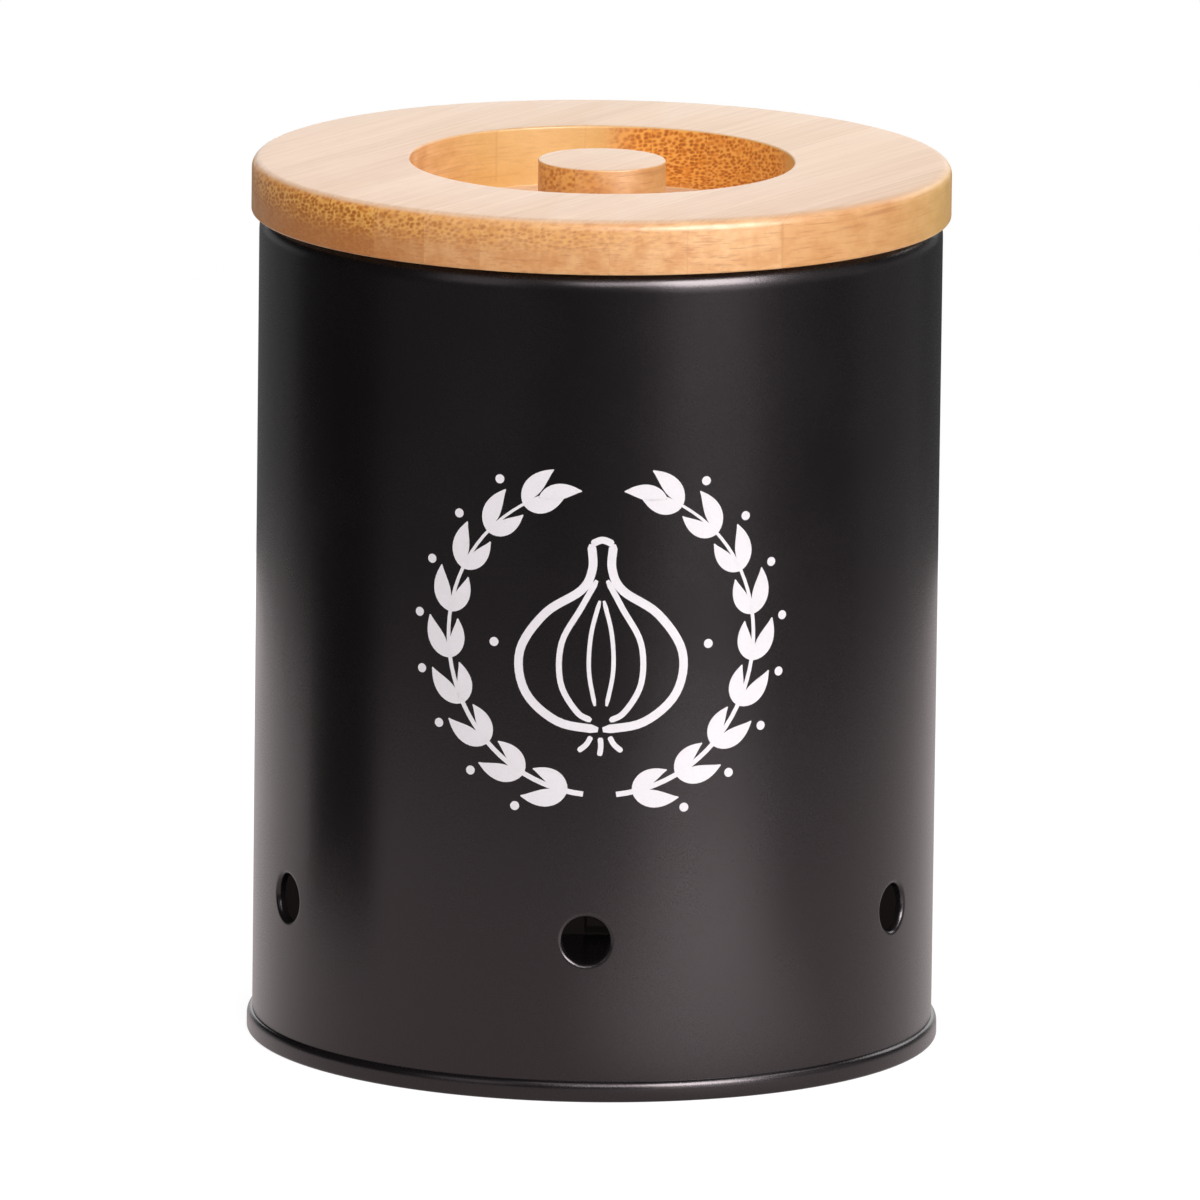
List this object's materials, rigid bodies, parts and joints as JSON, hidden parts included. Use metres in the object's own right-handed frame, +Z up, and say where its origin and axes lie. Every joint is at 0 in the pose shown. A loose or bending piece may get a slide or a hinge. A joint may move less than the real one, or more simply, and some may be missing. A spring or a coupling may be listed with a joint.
{
  "type": "garlic keeper",
  "caption": "Round ventilated tin canister for storing garlic, with a pull-off bamboo lid that has a sunken finger dish and centre knob.",
  "frame": {"origin": "centre of the foot's underside, on the table", "axes": "+Z up along the canister's axis; -Y is the front, where the middle vent and the printed badge are; +X is to the viewer's right"},
  "size_m": [0.13, 0.13, 0.165],
  "materials": {
    "black_enamel": "satin black coating on tinplate, outside and inside",
    "bamboo": "sanded bamboo, clear matt oil",
    "seal": "translucent silicone",
    "white_print": "thin screen-printed ink"
  },
  "bodies": {
    "tin": {"tin_wall": "black_enamel", "tin_base": "black_enamel"},
    "lid": {"knob_strip_1": "bamboo", "knob_strip_2": "bamboo", "knob_strip_3": "bamboo", "lid_seal": "seal", "plug_strip_01": "bamboo", "plug_strip_02": "bamboo", "plug_strip_03": "bamboo", "plug_strip_04": "bamboo", "plug_strip_05": "bamboo", "plug_strip_06": "bamboo", "plug_strip_07": "bamboo", "plug_strip_08": "bamboo", "plug_strip_09": "bamboo", "plug_strip_10": "bamboo", "plug_strip_11": "bamboo", "rim_strip_01": "bamboo", "rim_strip_02": "bamboo", "rim_strip_03": "bamboo", "rim_strip_04_back": "bamboo", "rim_strip_04_front": "bamboo", "rim_strip_05_back": "bamboo", "rim_strip_05_front": "bamboo", "rim_strip_06_back": "bamboo", "rim_strip_06_front": "bamboo", "rim_strip_07_back": "bamboo", "rim_strip_07_front": "bamboo", "rim_strip_08_back": "bamboo", "rim_strip_08_front": "bamboo", "rim_strip_09_back": "bamboo", "rim_strip_09_front": "bamboo", "rim_strip_10": "bamboo", "rim_strip_11": "bamboo", "rim_strip_12": "bamboo"}
  },
  "joints": [
    {"name": "lid_lift", "type": "slide", "parent": "tin", "child": "lid", "axis": [0, 0, 1], "range_m": [0, 0.1]}
  ]
}
